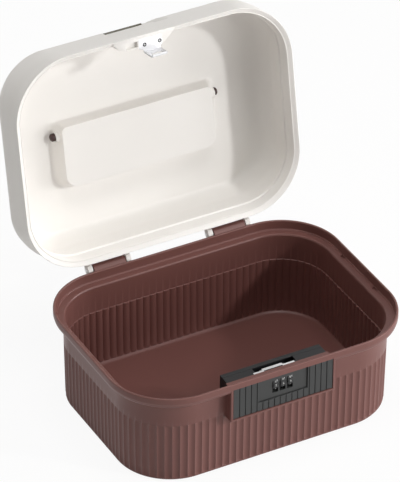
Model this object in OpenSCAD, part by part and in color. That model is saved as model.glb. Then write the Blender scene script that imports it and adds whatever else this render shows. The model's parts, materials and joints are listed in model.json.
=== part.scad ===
// Lock box, modelled open. Millimetres. Origin at the centre of the base face,
// +X to the right, +Y to the back, +Z up, the lock is at -Y.

/* [Tub] */
// Width over the rim
tub_w = 300; // [292:1:310]
// Depth over the rim
tub_d = 222; // [216:1:230]
// Height to the top of the rim
tub_h = 102; // [98:1:112]
// Corner radius of the rim
rim_r = 64; // [60:1:66]
// How far the body stands in from the rim
body_in = 9.6; // [9.2:0.1:10]
// Corner radius of the body
body_r = 52; // [50:1:54]
// Wall thickness of the tub
wall = 2.2; // [2:0.1:2.4]
// Thickness of the base
base_t = 2.5; // [2:0.1:3.5]
// Thickness of the lip round the lid
lip_t = 2.4; // [2.2:0.1:2.5]
// Number of flutes round the body
flutes = 120; // [100:4:132]
// Depth of a flute
flute_depth = 0.9; // [0.5:0.1:1.1]
// Height of the plain band above the flutes
band_h = 38; // [36:1:42]

/* [Lid] */
// Height of the lid
lid_h = 62; // [60:1:66]
// Wall thickness of the lid
lid_wall = 2.2; // [2:0.1:2.4]
// Gap between the lip and the lid
lid_gap = 0.6; // [0.5:0.1:0.8]
// How deep the lid sits below the top of the rim
lid_seat = 6.4; // [6.3:0.1:6.6]
// Corner radius of the lid at its edge
lid_r = 61; // [60:0.5:62]
// Slope of the lid's sides
side_draft = 0.05; // [0.03:0.01:0.07]
// Slope of the lid's front and back
front_draft = 0.22; // [0.2:0.01:0.24]
// Radius between the lid's walls and its top
dome_r = 25; // [22:1:26]
// Depth of the handle recess
recess_h = 13.5; // [13:0.5:15]
// Width of the finger recess in the front
finger_w = 64; // [50:2:66]
// Depth of the finger recess
finger_t = 5; // [3:0.5:5.5]

/* [Hinge] */
// How far the lid stands open, in degrees
open_angle = 100.5; // [95:0.5:104]
// How far the axis is behind the rim
axis_back = 4.9; // [4.8:0.1:5.2]
// Radius of a hinge pin
pin_r = 1.5; // [1.2:0.1:1.7]
// Play of a hinge pin in its barrel
pin_play = 0.05; // [0.03:0.01:0.08]
// Radius of a barrel
barrel_r = 3; // [2.8:0.1:3.2]
// Length of a barrel
barrel_l = 34; // [28:1:36]
// Middle of a barrel from where the lid's corner starts
barrel_in = 21; // [19:1:30]
// Width of an ear
ear_w = 6.5; // [5:0.5:7]
// Gap between an ear and a barrel
ear_gap = 0.3; // [0.2:0.1:0.5]

/* [Handle] */
// Width over the handle
handle_w = 158.6; // [150:0.2:160]
// Length from the pivot to the grip's edge
handle_l = 49; // [44:1:50]
// Thickness of the handle's arms
arm_t = 5; // [4:0.5:6]
// Width of the grip
grip_w = 7; // [6:0.5:9]
// Height of the handle's section
handle_t = 9; // [7:0.5:9]
// Radius of a handle pin
hpin_r = 2; // [1.6:0.1:2.2]

/* [Lock] */
// Width of the press plate
plate_w = 105.2; // [104:0.4:106]
// Height of the press plate
plate_h = 33.2; // [32.8:0.1:33.6]
// Thickness of the press plate
plate_t = 2.4; // [2.2:0.1:2.5]
// How far the press plate is pushed
travel = 2; // [1.8:0.1:2.1]
// Gap round the press plate
plate_gap = 0.4; // [0.3:0.1:0.5]
// Distance between the plate's grooves
groove_pitch = 6.3; // [5.6:0.1:6.6]
// Width of the dial panel
panel_w = 51; // [49:0.5:52]
// Height of the dial panel
panel_h = 23.4; // [22.8:0.2:23.6]
// Radius of a dial
dial_r = 7.4; // [7.2:0.1:7.5]
// Width of a dial
dial_w = 5.9; // [5.6:0.1:6]
// Distance between dials
dial_pitch = 7.7; // [7.7:0.1:8]
// Radius of the dial shaft
shaft_r = 1.5; // [1.2:0.1:1.8]
// Thickness of the steel tongue
tongue_t = 1.5; // [1.2:0.1:1.5]
// Width of the tongue
tongue_w = 18; // [15:1:19]
// Height of the hole in the tongue
hole_h = 5.5; // [5:0.1:6]
// Left edge of the reset lever
lever_x = 20; // [16:1:30]
// Width of the reset lever
lever_w = 8; // [6:0.5:10]
// Height of the reset lever
lever_h = 6; // [5:0.5:8]
// Travel of the reset lever
reset_travel = 4; // [3:0.5:4.5]

/* [Hidden] */
$fn = 48;
seg = 12;
front = -tub_d / 2;
back = tub_d / 2;
in_wall = body_in + wall;

lid_z = tub_h - lid_seat;
lid_in = lip_t + lid_gap;
lid_w = tub_w - 2 * lid_in;
lid_d = tub_d - 2 * lid_in;
shoulder = lid_h - dome_r;
floor_top = lid_z + lid_h - recess_h;
pivot_y = -5;
pivot_z = lid_z + lid_h - 7;
pocket_w = handle_w + 2.4;
pocket_y0 = pivot_y - 8;
pocket_y1 = pivot_y + handle_l + 2.6;
pocket_d = pocket_y1 - pocket_y0;
boss_x = pocket_w / 2 + 3.2;

axis_y = back + axis_back;
axis_z = tub_h - 0.3;
barrel_x = lid_w / 2 - lid_r - barrel_in;
ear_r = axis_back - 0.5;

face_back = front + 0.6 + plate_t;
panel_front = front + 2;
panel_back = front + 5.6;
pocket_floor = front + 7.6;
dial_y = front + 7.9;
strip_t = 1.4;
strip_y = dial_y + dial_r + 1.1;
tongue_y = strip_y + strip_t + travel + 0.2;
bar_y = tongue_y + tongue_t + 0.6;
nose_y = tongue_y + 0.1;
cover_in = bar_y + strip_t + travel + 0.7;
cover_wall = 1.2;
cover_out = cover_in + cover_wall;
flange_y = front + in_wall;
flange_t = 1.6;
case_wall = 1.6;

pocket_w2 = plate_w / 2 + plate_gap;
frame_t = 2.4;
frame_w2 = pocket_w2 + frame_t;
plate_top = tub_h - 6.8;
plate_bottom = plate_top - plate_h;
pocket_bottom = plate_bottom - plate_gap;
frame_bottom = pocket_bottom - frame_t;
opening_w2 = 44;
opening_bottom = pocket_bottom + 2;
case_w2 = opening_w2 - 0.4;
case_bottom = opening_bottom + 0.4;
panel_bottom = plate_top - panel_h;
dial_z = tub_h - 16.4;
roof_top = tub_h - 7;
roof_t = 1.3;
roof_z = roof_top - roof_t;
flange_w2 = plate_w / 2 - 0.2;
screw_x = (opening_w2 + pocket_w2) / 2;
screw_z0 = opening_bottom + 3;
screw_z1 = dial_z + 0.4;
screw_r = 1.5;
post_x = (panel_w / 2 + case_w2) / 2 - 5;
post_z0 = case_bottom + 4;
post_z1 = dial_z + 2.4;
post_r = 2.2;
tip_r = 1.2;
cam_r = 4.6;
cam_t = 1.2;
striker_z = lid_z + 0.2;
striker_t = 1.2;
boss_z = striker_z + striker_t;
striker_y = front + 9;
tongue_tip = striker_z - 15;
hole_z0 = tongue_tip + 2.9;
hole_z1 = hole_z0 + hole_h;
nose_w2 = 5;
lever_z = dial_z - 7.6;
stem_x = lever_x + lever_w / 2;

// a rounded rectangle, with the radius rb at its back corners and rf at its front ones
function rounded(w, d, rb, rf) = [for (q = [0:3]) for (i = [0:seg])
    let (a = 90 * q + 90 * i / seg, r = q < 2 ? rb : rf, sx = (q == 0 || q == 3) ? 1 : -1,
        sy = q < 2 ? 1 : -1)
    [sx * (w / 2 - r) + r * cos(a), sy * (d / 2 - r) + r * sin(a)]];

// a closed skin through rounded rectangles, each [width, depth, corner radius, height] and, where
// it differs, the radius of the front corners
module skin(rings) {
    n = 4 * (seg + 1);
    top = (len(rings) - 1) * n;
    points = [for (g = rings) for (p = rounded(g[0], g[1], g[2], g[4] == undef ? g[2] : g[4]))
        [p[0], p[1], g[3]]];
    ends = [[for (i = [0:n - 1]) i], [for (i = [0:n - 1]) top + n - 1 - i]];
    sides = [for (k = [0:len(rings) - 2]) for (i = [0:n - 1])
        [k * n + i, k * n + n + i, k * n + n + (i + 1) % n, k * n + (i + 1) % n]];
    polyhedron(points, concat(ends, sides));
}

// a ring of the tub at an inset from the rim's outside
function tub_ring(inset, z) = [tub_w - 2 * inset, tub_d - 2 * inset,
    rim_r - inset * (rim_r - body_r) / body_in, z];

// a ring of the lid, where t is a wall thickness taken off all round
function lid_corner(ix, iy) = lid_r - 0.8 * (ix + iy) / 2;
function lid_ring(h, t) = let (ix = side_draft * h + t, iy = front_draft * h + t)
    [lid_w - 2 * ix, lid_d - 2 * iy, lid_corner(ix, iy), lid_z + h];
function dome_ring(a, t) = let (r = dome_r - t, ix = side_draft * shoulder + t + r * (1 - cos(a)),
    iy = front_draft * shoulder + t + r * (1 - cos(a)))
    [lid_w - 2 * ix, lid_d - 2 * iy, lid_corner(ix, iy), lid_z + shoulder + r * sin(a)];

// a point of the body's outline at the distance s from the middle of the front, and its normal
function outline(s, a, b, r, q) = s < a ? [s, -b / 2 - r, 0, -1]
    : s < a + q ? let (t = 90 * (s - a) / q) [a + r * sin(t), -b / 2 - r * cos(t), sin(t), -cos(t)]
    : s < a + q + b ? [a + r, s - a - q - b / 2, 1, 0]
    : s < a + 2 * q + b ? let (t = 90 * (s - a - q - b) / q)
        [a + r * cos(t), b / 2 + r * sin(t), cos(t), sin(t)]
    : [2 * a + 2 * q + b - s, b / 2 + r, 0, 1];

module fluted(w, d, r) {
    a = w / 2 - r;
    b = d - 2 * r;
    q = PI * r / 2;
    half = 2 * a + 2 * q + b;
    dip = [0, 0.64, 0.96, 0.96, 0.64];
    n = flutes * 5;
    polygon([for (k = [0:n - 1]) let (s = 2 * half * k / n, m = s > half ? -1 : 1,
        p = outline(s > half ? 2 * half - s : s, a, b, r, q), o = flute_depth * dip[k % 5])
        [m * (p[0] - o * p[2]), p[1] - o * p[3]]]);
}

module rod(r, x0, x1, y, z) {
    translate([x0, y, z]) rotate([0, 90, 0]) cylinder(r = r, h = x1 - x0);
}

module stud(r, y0, y1, x, z) {
    translate([x, y1, z]) rotate([90, 0, 0]) cylinder(r = r, h = y1 - y0);
}

module box(lo, hi) {
    translate(lo) cube(hi - lo);
}

// closed lid to open lid
module open_lid() {
    translate([0, axis_y, axis_z]) rotate([-open_angle, 0, 0])
        translate([0, -axis_y, -axis_z]) children();
}

// polygon of [y, z] points, drawn between two x
module across(x0, x1, points) {
    translate([x0, 0, 0]) rotate([90, 0, 90]) linear_extrude(x1 - x0) polygon(points);
}

module tub_shell() {
    color([0.45, 0.27, 0.25]) difference() {
        union() {
            skin([tub_ring(body_in + 3, 0), tub_ring(body_in + 1.2, 0.8), tub_ring(body_in + 0.4, base_t)]);
            translate([0, 0, base_t]) linear_extrude(tub_h - band_h - base_t)
                fluted(tub_w - 2 * body_in, tub_d - 2 * body_in, body_r);
            skin([tub_ring(body_in, tub_h - band_h), tub_ring(body_in, tub_h - 15.5),
                tub_ring(3, tub_h - 11.5), tub_ring(0.8, tub_h - 9), tub_ring(0, tub_h - 6),
                tub_ring(0, tub_h - 1), tub_ring(0.6, tub_h)]);
            box([-frame_w2, front, frame_bottom], [frame_w2, flange_y - 0.3, tub_h - 5]);
            for (m = [-1, 1]) {
                rod(barrel_r, m * barrel_x - barrel_l / 2, m * barrel_x + barrel_l / 2, axis_y, axis_z);
                across(m * barrel_x - barrel_l / 2, m * barrel_x + barrel_l / 2,
                    [[back - 1, axis_z], [back - 1, axis_z - 6], [back + 1, axis_z - 6],
                    [axis_y, axis_z - barrel_r + 0.1], [axis_y, axis_z]]);
            }
        }
        skin([tub_ring(in_wall + 2, base_t), tub_ring(in_wall + 0.6, base_t + 0.9),
            tub_ring(in_wall, base_t + 3), tub_ring(in_wall, tub_h - 18),
            tub_ring(in_wall - 0.4, tub_h - 16), tub_ring(in_wall - 1.6, tub_h - 14.5),
            tub_ring(8.6, tub_h - 12.6), tub_ring(5.4, tub_h - 11.8), tub_ring(3.9, tub_h - 6.8),
            tub_ring(lip_t + 0.2, tub_h - 6.6), tub_ring(lip_t, tub_h - 0.5),
            tub_ring(lip_t - 0.6, tub_h), tub_ring(lip_t - 0.6, tub_h + 9)]);
        box([-pocket_w2, front - 1, pocket_bottom], [pocket_w2, pocket_floor, lid_z]);
        box([-opening_w2, pocket_floor - 1, opening_bottom], [opening_w2, flange_y + 1, lid_z]);
        for (m = [-1, 1]) {
            rod(pin_r + pin_play, m * barrel_x - barrel_l / 2 - 1, m * barrel_x + barrel_l / 2 + 1,
                axis_y, axis_z);
            for (z = [screw_z0, screw_z1]) stud(screw_r, flange_y - 2.4, flange_y + 1, m * screw_x, z);
            for (y = [-28, 32])
                box([m * (tub_w / 2 - 3.9) - 1.3, y - 3.2, tub_h - 11], [m * (tub_w / 2 - 3.9) + 1.3,
                    y + 3.2, tub_h - 5]);
        }
    }
}

module ears() {
    for (m = [-1, 1]) for (e = [-1, 1]) {
        x = m * barrel_x + e * (barrel_l / 2 + ear_gap + ear_w / 2);
        rod(ear_r, x - ear_w / 2, x + ear_w / 2, axis_y, axis_z);
        across(x - ear_w / 2, x + ear_w / 2, [[back - lid_in - 2.6, tub_h + 0.5],
            [axis_y + 0.4, tub_h + 0.5], [axis_y + 0.4, axis_z + ear_r - 0.2],
            [back - lid_in - 2.9, axis_z + ear_r - 0.2]]);
    }
}

module lid_shell() {
    color([0.9, 0.88, 0.85]) difference() {
        union() {
            open_lid() difference() {
                union() {
                    difference() {
                        skin([lid_ring(0, 0.4), lid_ring(0.5, 0), lid_ring(shoulder, 0), dome_ring(15, 0),
                            dome_ring(30, 0), dome_ring(45, 0), dome_ring(60, 0), dome_ring(75, 0),
                            dome_ring(90, 0)]);
                        skin([lid_ring(-1, 1.3), lid_ring(2.2, 1.3), lid_ring(2.6, lid_wall),
                            lid_ring(shoulder, lid_wall), dome_ring(15, lid_wall),
                            dome_ring(30, lid_wall), dome_ring(45, lid_wall), dome_ring(60, lid_wall),
                            dome_ring(75, lid_wall), dome_ring(90, lid_wall)]);
                    }
                    translate([0, (pocket_y0 + pocket_y1) / 2, 0])
                        skin([[pocket_w - 1.2, pocket_d + 1.2, 15, floor_top - lid_wall, 5.6],
                            [pocket_w + 3.6, pocket_d + 3.6, 16, floor_top + 0.4, 6.6],
                            [pocket_w + 6.4, pocket_d + 6, 17, lid_z + lid_h - 0.6, 7.5]]);
                    for (m = [-1, 1]) rod(5, m * (boss_x - 1.9) - 1.9, m * (boss_x - 1.9) + 1.9,
                        pivot_y, pivot_z);
                    across(-finger_w / 2 - 4, finger_w / 2 + 4, [[front + lid_in + 1, boss_z],
                        [tongue_y + tongue_t + 1, boss_z], [tongue_y + tongue_t + 2.6, boss_z + 8],
                        [front + 22, lid_z + shoulder + 6], [front + 26, lid_z + shoulder + 13],
                        [front + 21, lid_z + shoulder + 14], [front + lid_in + 12, lid_z + shoulder],
                        [front + lid_in + 2, lid_z + 9]]);
                    ears();
                }
                translate([0, (pocket_y0 + pocket_y1) / 2, 0])
                    skin([[pocket_w - 1, pocket_d - 1, 13.5, floor_top, 4],
                        [pocket_w, pocket_d, 14, floor_top + 2, 4.5],
                        [pocket_w + 2, pocket_d + 2, 15, lid_z + lid_h + 1, 5.5]]);
                for (m = [-1, 1]) rod(hpin_r, m * (pocket_w / 2 + 1) - 4, m * (pocket_w / 2 + 1) + 4,
                    pivot_y, pivot_z);
                across(-finger_w / 2, finger_w / 2, [[front - 1, lid_z + 12],
                    [front + lid_in + 2.6 + finger_t, lid_z + 14],
                    [front + lid_in + 7 + finger_t, lid_z + shoulder - 2], [front - 1, lid_z + shoulder + 6]]);
                for (m = [-1, 1]) translate([m * 8, striker_y + 4, boss_z - 1]) cylinder(r = 1.1, h = 8.5);
                box([-31, front + 10.5, boss_z - 1], [-18, front + 16, boss_z + 4]);
            }
            for (m = [-1, 1]) for (e = [-1, 1]) {
                x = m * barrel_x + e * (barrel_l / 2 + ear_gap + ear_w / 2);
                box([x - ear_w / 2 + 0.2, axis_y - axis_back + 0.3, axis_z - 4],
                    [x + ear_w / 2 - 0.2, axis_y - 1.8, axis_z - 1.8]);
            }
        }
        for (m = [-1, 1]) rod(pin_r, m * barrel_x - barrel_l / 2 - ear_gap - ear_w - 1,
            m * barrel_x + barrel_l / 2 + ear_gap + ear_w + 1, axis_y, axis_z);
    }
}

module hinge_pin(m) {
    color([0.7, 0.7, 0.72]) rod(pin_r, m * barrel_x - barrel_l / 2 - ear_gap - ear_w,
        m * barrel_x + barrel_l / 2 + ear_gap + ear_w, axis_y, axis_z);
}

module hinge_pin_left() {
    hinge_pin(-1);
}

module hinge_pin_right() {
    hinge_pin(1);
}

// a bail from y0 to y1 with rounded corners at y1
function bail(w, y0, y1, r) = concat([[w / 2, y0]],
    [for (i = [0:seg]) [w / 2 - r + r * cos(90 * i / seg), y1 - r + r * sin(90 * i / seg)]],
    [for (i = [0:seg]) [r - w / 2 - r * sin(90 * i / seg), y1 - r + r * cos(90 * i / seg)]],
    [[-w / 2, y0]]);

module handle() {
    color([0.36, 0.2, 0.18]) open_lid() difference() {
        union() {
            translate([0, 0, pivot_z - handle_t / 2]) linear_extrude(handle_t) difference() {
                polygon(bail(handle_w, pivot_y, pivot_y + handle_l, 22));
                polygon(bail(handle_w - 2 * arm_t, pivot_y - 1, pivot_y + handle_l - grip_w, 16));
            }
            for (m = [-1, 1]) rod(handle_t / 2, m * (handle_w - arm_t) / 2 - arm_t / 2,
                m * (handle_w - arm_t) / 2 + arm_t / 2, pivot_y, pivot_z);
        }
        for (m = [-1, 1]) rod(hpin_r + 0.08, m * (handle_w - arm_t) / 2 - arm_t, m * (handle_w - arm_t) / 2
            + arm_t, pivot_y, pivot_z);
    }
}

module handle_pin(m) {
    color([0.36, 0.2, 0.18]) open_lid() mirror([m < 0 ? 1 : 0, 0, 0]) {
        rod(hpin_r, handle_w / 2 - arm_t + 0.6, boss_x + 0.5, pivot_y, pivot_z);
        rod(3.5, boss_x, boss_x + 1.5, pivot_y, pivot_z);
    }
}

module handle_pin_left() {
    handle_pin(-1);
}

module handle_pin_right() {
    handle_pin(1);
}

module striker() {
    color([0.8, 0.8, 0.82]) open_lid() difference() {
        union() {
            translate([0, 0, striker_z]) linear_extrude(striker_t)
                polygon([[-15, striker_y], [15, striker_y], [15, tongue_y - 2], [tongue_w / 2, tongue_y],
                    [tongue_w / 2, tongue_y + tongue_t], [-tongue_w / 2, tongue_y + tongue_t],
                    [-tongue_w / 2, tongue_y], [-15, tongue_y - 2]]);
            translate([0, tongue_y + tongue_t, 0]) rotate([90, 0, 0]) linear_extrude(tongue_t)
                polygon([[-tongue_w / 2, boss_z], [-tongue_w / 2, tongue_tip + 1.5],
                    [-tongue_w / 2 + 1.5, tongue_tip], [tongue_w / 2 - 1.5, tongue_tip],
                    [tongue_w / 2, tongue_tip + 1.5], [tongue_w / 2, boss_z]]);
        }
        box([-nose_w2 - 0.5, tongue_y - 1, hole_z0], [nose_w2 + 0.5, tongue_y + tongue_t + 1, hole_z1]);
        for (m = [-1, 1]) translate([m * 8, striker_y + 4, striker_z - 1]) cylinder(r = 1.1, h = 4);
        for (m = [-1, 1]) translate([m * 8, striker_y + 4, striker_z]) cylinder(r1 = 2.1, r2 = 1.1, h = 1);
    }
}

module striker_screws() {
    color([0.35, 0.35, 0.36]) open_lid() for (m = [-1, 1]) translate([m * 8, striker_y + 4, 0]) {
        translate([0, 0, striker_z]) cylinder(r1 = 2.1, r2 = 1.1, h = 1);
        translate([0, 0, striker_z + 0.9]) cylinder(r = 1.1, h = 7);
    }
}

module lock_case() {
    color([0.16, 0.16, 0.17]) difference() {
        union() {
            difference() {
                box([-case_w2, panel_back, case_bottom], [case_w2, bar_y + 0.3, roof_z + 0.5]);
                box([-case_w2 + case_wall, panel_back + case_wall, case_bottom + case_wall],
                    [case_w2 - case_wall, bar_y + 2, roof_z]);
            }
            box([-flange_w2, panel_back, roof_z], [flange_w2, bar_y + 0.3, roof_top]);
            difference() {
                box([-flange_w2, flange_y, case_bottom - 4], [flange_w2, flange_y + flange_t, roof_z + 0.5]);
                box([-case_w2 + 1, flange_y - 1, case_bottom + 1], [case_w2 - 1, flange_y + 4, roof_z + 2]);
            }
            for (m = [-1, 1]) box([m * 14 - 1, panel_back + 0.5, dial_z - dial_r - 2],
                [m * 14 + 1, dial_y + 4, roof_z + 0.5]);
            box([-15, panel_back + 0.5, dial_z - dial_r - 2.8], [15, dial_y + 6, dial_z - dial_r - 1.2]);
        }
        box([-12.6, panel_back - 1, dial_z - dial_r - 1.2], [12.6, panel_back + case_wall + 1, roof_z]);
        rod(shaft_r, -16, 16, dial_y, dial_z);
        for (m = [-1, 1]) {
            for (z = [post_z0, post_z1]) stud(post_r + 0.08, panel_back - 1, panel_back + 4, m * post_x, z);
            for (z = [screw_z0, screw_z1]) stud(screw_r + 0.1, flange_y - 1, flange_y + 4, m * screw_x, z);
            stud(1.5, panel_back - 1, panel_back + 4, m * (panel_w / 2 - 5), panel_bottom + 4.2);
        }
        box([-21.5, strip_y - 0.3, roof_z - 0.2], [21.5, bar_y + 2, roof_top + 1]);
    }
}

module dial_panel() {
    color([0.2, 0.2, 0.21]) union() {
        difference() {
            box([-panel_w / 2, panel_front, panel_bottom], [panel_w / 2, panel_back, plate_top]);
            for (k = [-1, 0, 1]) rod(dial_r + 0.35, k * dial_pitch - dial_w / 2 - 0.3,
                k * dial_pitch + dial_w / 2 + 0.3, dial_y, dial_z);
            rod(cam_r + 0.3, -dial_pitch - 3.5, dial_pitch + 5, dial_y, dial_z);
        }
        for (m = [-1, 1]) stud(1.5, panel_back - 0.5, panel_back + 1.5, m * (panel_w / 2 - 5),
            panel_bottom + 4.2);
    }
}

module press_plate() {
    count = floor((plate_w / 2 - 1.5) / groove_pitch);
    color([0.24, 0.25, 0.25]) union() {
        difference() {
            box([-plate_w / 2, front + 0.6, plate_bottom], [plate_w / 2, face_back, plate_top]);
            box([-panel_w / 2 - 0.5, front, panel_bottom - plate_gap], [panel_w / 2 + 0.5, face_back + 1,
                plate_top + 1]);
            for (k = [-count:count])
                box([k * groove_pitch - 0.45, front, plate_bottom - 1], [k * groove_pitch + 0.45,
                    front + 1.4, plate_top + 1]);
        }
        for (m = [-1, 1]) {
            stud(post_r, face_back - 0.5, strip_y, m * post_x, post_z1);
            stud(tip_r, strip_y - 0.5, strip_y + strip_t + 1.3, m * post_x, post_z1);
            stud(post_r, face_back - 0.5, panel_back + 4.4, m * post_x, post_z0);
        }
    }
}

module dial(k) {
    x = k * dial_pitch;
    color([0.1, 0.1, 0.11]) difference() {
        rod(dial_r, x - dial_w / 2, x + dial_w / 2, dial_y, dial_z);
        rod(shaft_r + 0.06, x - dial_w, x + dial_w, dial_y, dial_z);
        for (i = [0:9]) translate([0, dial_y, dial_z]) rotate([36 * i + 18, 0, 0])
            rod(0.45, x - dial_w, x + dial_w, dial_r + 0.1, 0);
    }
}

module dial_1() {
    dial(-1);
}

module dial_2() {
    dial(0);
}

module dial_3() {
    dial(1);
}

module cam(k) {
    x = k * dial_pitch + dial_w / 2;
    color([0.6, 0.6, 0.58]) difference() {
        rod(cam_r, x, x + cam_t, dial_y, dial_z);
        rod(shaft_r + 0.06, x - 1, x + cam_t + 1, dial_y, dial_z);
        for (i = [0:9]) translate([0, dial_y, dial_z]) rotate([36 * i, 0, 0])
            rod(0.5, x - 1, x + cam_t + 1, cam_r + 0.1, 0);
    }
}

module cam_1() {
    cam(-1);
}

module cam_2() {
    cam(0);
}

module cam_3() {
    cam(1);
}

module dial_shaft() {
    color([0.7, 0.7, 0.72]) rod(shaft_r, -15.6, 15.6, dial_y, dial_z);
}

module detent_spring() {
    z = dial_z - dial_r - 1.2;
    color([0.7, 0.7, 0.72]) union() {
        box([-12, dial_y - 0.8, z], [12.4, dial_y + 5.5, z + 0.4]);
        for (k = [-1, 0, 1]) box([k * dial_pitch + dial_w / 2 + 0.2, dial_y - 0.6, z + 0.2],
            [k * dial_pitch + dial_w / 2 + 1, dial_y + 0.6, dial_z - cam_r - 0.1]);
    }
}

module latch_frame() {
    low = dial_z - 1.2;
    color([0.75, 0.75, 0.77]) difference() {
        union() {
            translate([0, strip_y + strip_t, 0]) rotate([90, 0, 0]) linear_extrude(strip_t)
                polygon([[-post_x - 3.5, low], [post_x + 3.5, low], [post_x + 3.5, post_z1 + 3.5],
                    [21, post_z1 + 3.5], [21, roof_z - 0.3], [10.4, roof_z - 0.3], [9.6, roof_top + 0.2],
                    [-9.6, roof_top + 0.2], [-10.4, roof_z - 0.3], [-21, roof_z - 0.3],
                    [-21, post_z1 + 3.5], [-post_x - 3.5, post_z1 + 3.5]]);
            for (m = [-1, 1]) box([m * (tongue_w / 2 + 3) - 1, strip_y + 0.5, low], [m * (tongue_w / 2 + 3) + 1,
                bar_y + strip_t, low + 5.2]);
            box([-tongue_w / 2 - 3, bar_y, low], [tongue_w / 2 + 3, bar_y + strip_t, low + 5.2]);
            across(-nose_w2, nose_w2, [[bar_y + 0.5, hole_z0 + 0.5], [nose_y, hole_z0 + 0.5],
                [nose_y, hole_z1 - 2.2], [nose_y + 1.3, hole_z1 - 0.5], [bar_y + 0.5, hole_z1 - 0.5]]);
        }
        for (m = [-1, 1]) stud(tip_r, strip_y - 1, strip_y + 3, m * post_x, post_z1);
    }
}

module latch_clips() {
    color([0.5, 0.5, 0.52]) for (m = [-1, 1]) difference() {
        stud(2.4, strip_y + strip_t, strip_y + strip_t + 0.7, m * post_x, post_z1);
        stud(tip_r, strip_y, strip_y + strip_t + 2, m * post_x, post_z1);
    }
}

module inner_cover() {
    low = case_bottom - 5.2;
    y0 = flange_y + flange_t;
    color([0.18, 0.18, 0.19]) difference() {
        union() {
            difference() {
                box([-flange_w2, y0, low], [flange_w2, cover_out, roof_top]);
                box([-flange_w2 + cover_wall, y0 - 1, low + cover_wall], [flange_w2 - cover_wall, cover_in,
                    roof_top + 1]);
            }
            box([-flange_w2, bar_y + 0.5, roof_z], [flange_w2, cover_out, roof_top]);
            for (m = [-1, 1]) for (z = [screw_z0, screw_z1]) stud(3, y0, cover_in + 0.5, m * screw_x, z);
        }
        box([-flange_w2 - 1, y0 - 1, roof_z - 0.1], [flange_w2 + 1, bar_y + 0.5, roof_top + 1]);
        for (m = [-1, 1]) for (z = [screw_z0, screw_z1]) stud(screw_r + 0.1, y0 - 1, cover_out + 1,
            m * screw_x, z);
        box([stem_x - 1.7, cover_in - 1, lever_z - 1.2], [stem_x + 1.7 + reset_travel, cover_out + 1,
            lever_z + 1.2]);
    }
}

module cover_screws() {
    color([0.5, 0.5, 0.52]) for (m = [-1, 1]) for (z = [screw_z0, screw_z1]) {
        stud(screw_r, flange_y - 2.3, cover_out + 0.2, m * screw_x, z);
        stud(2.8, cover_out, cover_out + 1.4, m * screw_x, z);
    }
}

module reset_lever() {
    x1 = lever_x + lever_w;
    w2 = lever_h / 2;
    color([0.6, 0.2, 0.15]) union() {
        box([lever_x, cover_out + 0.1, lever_z - w2], [x1, cover_out + 2, lever_z + w2]);
        box([stem_x - 1.5, cover_in - 1.2, lever_z - 1], [stem_x + 1.5, cover_out + 0.5, lever_z + 1]);
        box([lever_x + 0.5, cover_in - 1.6, lever_z - w2 + 0.5], [x1 - 0.5, cover_in - 0.1,
            lever_z + w2 - 0.5]);
    }
}

tub_shell();
lid_shell();
handle();
handle_pin_left();
handle_pin_right();
hinge_pin_left();
hinge_pin_right();
striker();
striker_screws();
lock_case();
dial_panel();
press_plate();
dial_1();
dial_2();
dial_3();
cam_1();
cam_2();
cam_3();
dial_shaft();
detent_spring();
latch_frame();
latch_clips();
inner_cover();
cover_screws();
reset_lever();
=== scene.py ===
"""Lock box: fluted tub, deep lid on a hinge, fold-flat handle and a dial lock in the front.

All the pieces are worked out in millimetres, in the frame of the solids, and written in metres.
"""
import json
import math

import bpy
import numpy as np
from bpy.props import FloatProperty, FloatVectorProperty, IntProperty, PointerProperty
from mathutils import Matrix, Vector


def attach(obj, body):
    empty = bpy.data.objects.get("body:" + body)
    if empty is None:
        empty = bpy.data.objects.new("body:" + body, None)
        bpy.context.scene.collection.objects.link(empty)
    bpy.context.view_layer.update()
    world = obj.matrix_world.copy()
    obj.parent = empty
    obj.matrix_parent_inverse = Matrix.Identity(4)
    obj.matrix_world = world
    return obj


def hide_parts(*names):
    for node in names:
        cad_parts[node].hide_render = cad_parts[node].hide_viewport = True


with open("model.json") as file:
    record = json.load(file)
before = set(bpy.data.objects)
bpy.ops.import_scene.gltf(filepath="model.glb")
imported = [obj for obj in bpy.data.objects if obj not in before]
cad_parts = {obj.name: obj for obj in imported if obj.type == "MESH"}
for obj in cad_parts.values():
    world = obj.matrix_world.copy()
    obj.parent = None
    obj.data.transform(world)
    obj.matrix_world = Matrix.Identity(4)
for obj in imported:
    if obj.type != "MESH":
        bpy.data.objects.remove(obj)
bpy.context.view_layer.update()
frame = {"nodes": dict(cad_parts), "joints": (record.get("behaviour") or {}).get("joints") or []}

bl_info = {
    "name": "Lock box",
    "version": (1, 0, 0),
    "blender": (4, 5, 0),
    "location": "3D View > Sidebar > Lock box",
    "description": "Builds a fluted lock box with a hinged lid and a dial lock",
    "category": "Object",
}

MM = 0.001
HINGE = next(j for j in frame["joints"] if j["name"] == "lid_hinge")
AXIS_Y, AXIS_Z = HINGE["pos_m"][1] / MM, HINGE["pos_m"][2] / MM
OPEN = math.radians(HINGE["range_deg"][1])
SIDES = (-1, 1)
# These are in millimetres, and for the closed lid where they are on the lid
FLUTE_FOOT, FLUTE_FADE = (2.2, 4.2), 0.4  # where the flutes fade in, and over what they fade out
HINGE_X, BARREL_HALF, EAR_GAP, EAR_WIDTH = 65.0, 17.0, 0.3, 6.5
LID_Z = 95.6  # the lid's edge
WALL_Y, WALL_DRAFT, WALL = -108.0, 0.15, 2.2  # the lid's front wall, its lean and its thickness
PAST_SHOULDER = 3  # how far past the shoulder the finger recess's plane leans
FRONT = -111.0  # the face of the lock's surround
PIVOT_Y, PIVOT_Z = -5.0, 150.6
DIAL_Y, DIAL_Z, DIAL_PITCH, DIAL_RADIUS = -103.1, 85.6, 7.7, 7.4
DIAL_STEP = 36  # degrees between two numerals
POST_X, POST_Z = 29.55, 88.0  # the press plate's upper posts, which carry the latch
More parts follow.
